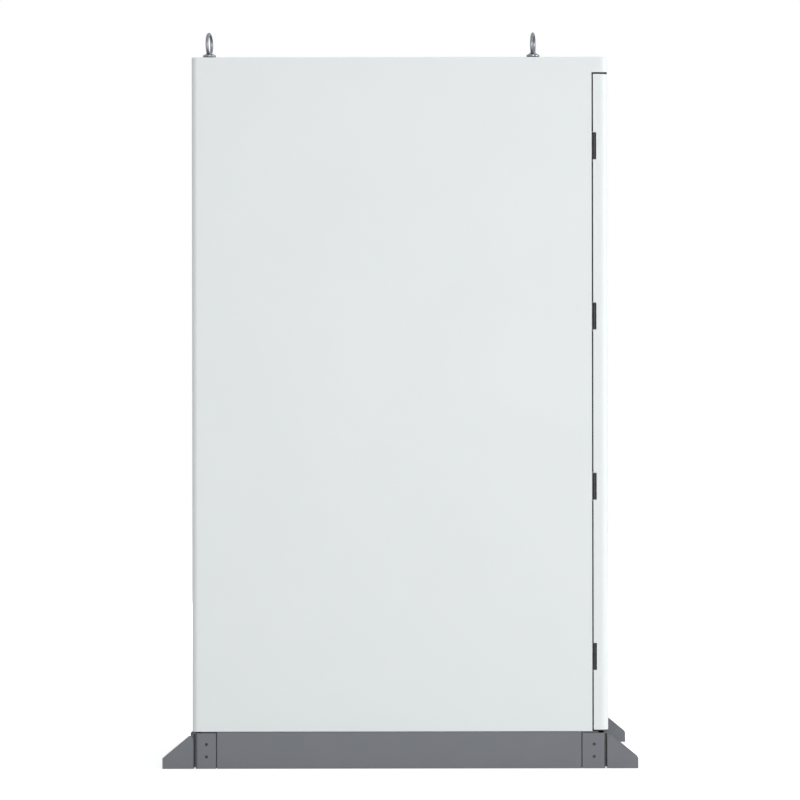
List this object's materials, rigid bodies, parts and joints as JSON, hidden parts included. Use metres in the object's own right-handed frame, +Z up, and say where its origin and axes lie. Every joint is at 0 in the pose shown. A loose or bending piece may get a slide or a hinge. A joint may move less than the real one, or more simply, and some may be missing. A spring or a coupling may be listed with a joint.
{
  "type": "battery cabinet",
  "caption": "Free-standing sheet-metal battery cabinet on a plinth, with a hinged cooled door, floor brackets, lifting eyes and a rack of battery modules.",
  "frame": {"origin": "on the floor, under the middle of the cabinet and its brackets", "axes": "+Z up; the door faces -Y and its hinges are on the -X side"},
  "size_m": [0.9, 1.338, 2.0754],
  "materials": {
    "body_paint": "satin powder coat, light grey",
    "plinth_paint": "fine-textured powder coat, mid grey",
    "hinge_black": "satin black",
    "zinc": "bright zinc plate",
    "galvanised": "galvanised sheet",
    "insulation": "closed-cell foam",
    "rubber": "matt black",
    "black_plastic": "fine matt",
    "grey_plastic": "fine matt",
    "module_case": "textured shell, dark grey",
    "module_front": "satin powder coat, grey",
    "copper": "tinned copper",
    "cable": "orange sheath",
    "aluminium": "mill finish fins",
    "lens": "opal",
    "button_green": "gloss",
    "knob_red": "gloss"
  },
  "bodies": {
    "cabinet": {"plinth_corners": "plinth_paint", "plinth_trims": "plinth_paint", "floor_brackets": "plinth_paint", "bracket_bolts": "zinc", "plinth_frame": "plinth_paint", "side_panel_left": "body_paint", "side_panel_right": "body_paint", "rear_panel": "body_paint", "roof_panel": "body_paint", "header": "body_paint", "front_frame": "body_paint", "floor_plate": "galvanised", "gland_plate": "aluminium", "cable_glands": "black_plastic", "frame_posts": "galvanised", "lifting_bars": "galvanised", "frame_cross_rails": "galvanised", "eyebolts": "zinc", "body_insulation": "insulation", "hinge_leaves_body": "hinge_black", "hinge_pins": "zinc", "rack_frame": "galvanised", "rack_runners": "galvanised", "battery_modules": "module_case", "module_fascias": "module_front", "module_terminals": "copper", "module_handles": "black_plastic", "series_links": "cable", "control_case": "module_case", "control_fascia": "module_front", "breaker_cases": "grey_plastic", "cable_duct": "grey_plastic", "earth_bar": "copper", "lamp": "lens", "smoke_detector": "lens", "door_sensor": "grey_plastic"},
    "door": {"door_shell": "body_paint", "door_stiffener": "galvanised", "door_gasket": "rubber", "door_insulation": "insulation", "hinge_leaves_door": "hinge_black", "lock_case": "zinc", "handle_base": "hinge_black", "rod_guides": "black_plastic", "cooler_case": "galvanised", "louvre_panel": "body_paint", "cooler_coils": "aluminium", "compressor": "black_plastic", "fan_mounts": "galvanised", "sensor_magnet": "grey_plastic"},
    "lever": {"door_lever": "hinge_black"},
    "upper_rod": {"lock_rod_upper": "zinc"},
    "lower_rod": {"lock_rod_lower": "zinc"},
    "outer_fan": {"fan_rotor_outer": "black_plastic"},
    "inner_fan": {"fan_rotor_inner": "black_plastic"},
    "main_toggle": {"breaker_toggle_main": "black_plastic"},
    "aux_toggle": {"breaker_toggle_aux": "black_plastic"},
    "isolator": {"isolator_knob": "knob_red"},
    "button": {"start_button": "button_green"}
  },
  "joints": [
    {"name": "door_hinge", "type": "hinge", "parent": "cabinet", "child": "door", "pos_m": [-0.4455, -0.547, 1.03], "axis": [0, 0, -1], "range_deg": [0, 110]},
    {"name": "lever_turn", "type": "hinge", "parent": "door", "child": "lever", "pos_m": [0.37, -0.585, 1.05], "axis": [0, 1, 0], "range_deg": [0, 90]},
    {"name": "upper_rod_slide", "type": "slide", "parent": "door", "child": "upper_rod", "axis": [0, 0, -1], "range_m": [0, 0.012]},
    {"name": "lower_rod_slide", "type": "slide", "parent": "door", "child": "lower_rod", "axis": [0, 0, 1], "range_m": [0, 0.012]},
    {"name": "outer_fan_spin", "type": "hinge", "parent": "door", "child": "outer_fan", "pos_m": [0, -0.506, 1.14], "axis": [0, 1, 0], "continuous": true},
    {"name": "inner_fan_spin", "type": "hinge", "parent": "door", "child": "inner_fan", "pos_m": [0, -0.441, 1.52], "axis": [0, 1, 0], "continuous": true},
    {"name": "main_toggle_flip", "type": "hinge", "parent": "cabinet", "child": "main_toggle", "pos_m": [-0.09, -0.396, 1.779], "axis": [1, 0, 0], "range_deg": [0, 50]},
    {"name": "aux_toggle_flip", "type": "hinge", "parent": "cabinet", "child": "aux_toggle", "pos_m": [0.02, -0.396, 1.779], "axis": [1, 0, 0], "range_deg": [0, 50]},
    {"name": "isolator_turn", "type": "hinge", "parent": "cabinet", "child": "isolator", "pos_m": [-0.22, -0.38, 1.779], "axis": [0, 1, 0], "range_deg": [0, 90]},
    {"name": "button_press", "type": "slide", "parent": "cabinet", "child": "button", "axis": [0, 1, 0], "range_m": [0, 0.003], "stiffness_N_per_m": 300, "springref_m": -0.002}
  ],
  "couplings": [
    {"joint": "upper_rod_slide", "follows": "lever_turn", "m_per_rad": 0.0076394},
    {"joint": "lower_rod_slide", "follows": "lever_turn", "m_per_rad": 0.0076394}
  ]
}
